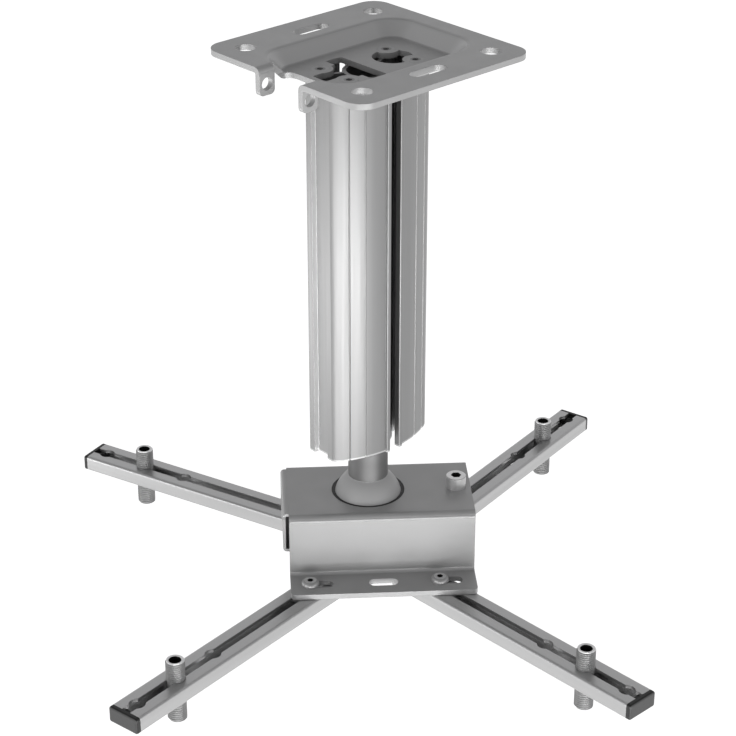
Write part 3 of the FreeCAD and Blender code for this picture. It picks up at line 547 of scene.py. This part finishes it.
def band(form, middle, start, end, slot=0):
    """Ring of faces between two circles, each given as radius and height, in one material slot."""
    low = [ring_point(form, middle, start[0], step, start[1]) for step in range(RING_STEPS)]
    high = [ring_point(form, middle, end[0], step, end[1]) for step in range(RING_STEPS)]
    for step in range(RING_STEPS):
        after = (step + 1) % RING_STEPS
        form.faces.new((low[step], low[after], high[after], high[step])).material_index = slot


def shown(form, name, body, finishes, replaced):
    """Turns a mesh form into a piece that rides on a body in place of a CAD node."""
    bmesh.ops.remove_doubles(form, verts=form.verts, dist=MERGE_DISTANCE)
    bmesh.ops.dissolve_degenerate(form, edges=form.edges, dist=MERGE_DISTANCE)
    mesh = bpy.data.meshes.new(name)
    form.to_mesh(mesh)
    form.free()
    piece = bpy.data.objects.new(name, mesh)
    bpy.context.collection.objects.link(piece)
    for finish in finishes:
        mesh.materials.append(finish)
    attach(piece, body)
    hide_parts(replaced)
    return piece


def stud(place):
    """Hollow stud: a thread, a flat ring with a small lead at each end, and a bore in painted shade."""
    node = "stud_" + place
    low, high = [Vector(corner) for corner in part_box(node)]
    middle = (low + high) / 2
    form = bmesh.new()
    thread(form, middle, low.z, high.z)
    for end, sign in ((high.z, 1), (low.z, -1)):
        rings = ((STUD_R - THREAD_DEPTH, end), (STUD_BORE_R + STUD_BORE_LEAD, end),
                 (STUD_BORE_R, end - sign * STUD_BORE_LEAD))
        for outer, inner in zip(rings, rings[1:]):
            pair = (outer, inner) if sign > 0 else (inner, outer)
            band(form, middle, *pair)
    bore_top = (STUD_BORE_R, high.z - STUD_BORE_LEAD)
    bore_foot = (STUD_BORE_R, low.z + STUD_BORE_LEAD)
    band(form, middle, bore_top, bore_foot, slot=1)
    piece = shown(form, "threaded_" + node, node, (stud_zinc, shaded_bore), node)


for place in ARM_AZIMUTHS:
    stud(place)


# Stage, light and camera

def floor_finish():
    """Pale matt floor that glows a little, so that it comes out nearly white."""
    mat, tree, shader, coords = material("pale_floor")
    toned(tree, shader, noise(tree, coords, scale=3.0), dark=0.86, light=0.88)
    shader.inputs["Roughness"].default_value = 0.9
    shader.inputs["Specular IOR Level"].default_value = 0.1
    shader.inputs["Emission Color"].default_value = grey(1.0)
    shader.inputs["Emission Strength"].default_value = FLOOR_GLOW
    return mat


def studio_floor():
    mesh = bpy.data.meshes.new("floor")
    corners = [(x * FLOOR_HALF, y * FLOOR_HALF, FLOOR_Z) for x, y in ((-1, -1), (1, -1), (1, 1), (-1, 1))]
    mesh.from_pydata(corners, [], [(0, 1, 2, 3)])
    mesh.materials.append(floor_finish())
    floor = bpy.data.objects.new("floor", mesh)
    bpy.context.collection.objects.link(floor)
    return floor


floor = studio_floor()


def aim(thing, place, target):
    thing.location = place
    thing.rotation_euler = (Vector(target) - Vector(place)).to_track_quat("-Z", "Y").to_euler()


def area_light(name, width, height, power):
    """Rectangular light that the camera doesn't see."""
    light = bpy.data.lights.new(name, "AREA")
    light.shape = "RECTANGLE"
    light.size = width
    light.size_y = height
    light.energy = power
    lamp = bpy.data.objects.new(name, light)
    bpy.context.collection.objects.link(lamp)
    lamp.visible_camera = False
    return lamp


def softbox(name, azimuth, power):
    """Large light, seen from the object at an azimuth in degrees, counted from +X."""
    lamp = area_light(name, SOFTBOX_WIDTH, SOFTBOX_HEIGHT, power)
    turn = math.radians(azimuth)
    rise = math.radians(SOFTBOX_ELEVATION)
    away = Vector((math.cos(turn) * math.cos(rise), math.sin(turn) * math.cos(rise), math.sin(rise)))
    aim(lamp, Vector(SOFTBOX_TARGET) + away * SOFTBOX_DISTANCE, SOFTBOX_TARGET)


def low_strip(name, azimuth, width, radiance):
    """Upright light near the floor that faces the object's axis and is seen only in reflections."""
    height = STRIP_TOP - STRIP_FOOT
    lamp = area_light(name, width, height, radiance * math.pi * width * height)
    turn = math.radians(azimuth)
    middle = (STRIP_TOP + STRIP_FOOT) / 2
    place = (STRIP_DISTANCE * math.cos(turn), STRIP_DISTANCE * math.sin(turn), middle)
    aim(lamp, place, (0, 0, middle))
    lamp.visible_diffuse = False


softbox("key_left", azimuth=178.0, power=11.5)
softbox("key_right", azimuth=288.0, power=5.0)
low_strip("front_strip", azimuth=257.0, width=0.38, radiance=7.6)
low_strip("corner_strip", azimuth=221.0, width=0.36, radiance=6.0)
low_strip("left_strip", azimuth=132.5, width=0.37, radiance=2.7)


def studio_sky():
    """Even room light that fades from the horizon to a darker ceiling."""
    world = bpy.data.worlds.new("studio")
    world.use_nodes = True
    tree = world.node_tree
    axes = tree.nodes.new("ShaderNodeSeparateXYZ")
    tree.links.new(tree.nodes.new("ShaderNodeTexCoord").outputs["Generated"], axes.inputs["Vector"])
    fade = tree.nodes.new("ShaderNodeMapRange")
    fade.interpolation_type = "SMOOTHSTEP"
    fade.inputs["From Min"].default_value = FADE_START
    fade.inputs["From Max"].default_value = FADE_END
    fade.inputs["To Min"].default_value = HORIZON_LIGHT
    fade.inputs["To Max"].default_value = CEILING_LIGHT
    tree.links.new(axes.outputs["Z"], fade.inputs["Value"])
    tree.links.new(fade.outputs["Result"], tree.nodes["Background"].inputs["Strength"])
    tree.nodes["Background"].inputs["Color"].default_value = SKY_COLOUR
    return world


bpy.context.scene.world = studio_sky()

camera_data = bpy.data.cameras.new("camera")
camera_data.sensor_fit = "HORIZONTAL"
camera_data.angle = 2 * math.atan(PICTURE_HALF_WIDTH / FOCAL_LENGTH)
camera_data.clip_end = CAMERA_CLIP_END
camera = bpy.data.objects.new("camera", camera_data)
bpy.context.collection.objects.link(camera)
aim(camera, CAMERA_PLACE, CAMERA_TARGET)
bpy.context.scene.camera = camera
bpy.context.scene.view_settings.view_transform = "Standard"
